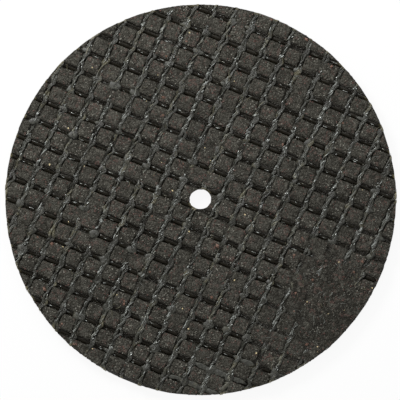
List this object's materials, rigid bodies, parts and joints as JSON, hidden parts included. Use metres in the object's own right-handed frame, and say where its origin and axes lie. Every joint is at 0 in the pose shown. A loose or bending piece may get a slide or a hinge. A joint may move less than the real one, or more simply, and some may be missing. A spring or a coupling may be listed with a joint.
{
  "type": "reinforced cut-off wheel",
  "caption": "Thin round abrasive cutting disc with a woven glass mesh pressed into both faces and a small central mandrel hole.",
  "frame": {"origin": "centre of the mandrel hole on the plane of the back face, which the wheel lies on", "axes": "+Z along the spindle axis towards the front face; +X to the right and +Y up as the front face is seen from above"},
  "size_m": [0.032, 0.032, 0.0011],
  "materials": {
    "abrasive": "matte"
  },
  "bodies": {
    "root": {"wheel": "abrasive"}
  },
  "joints": []
}
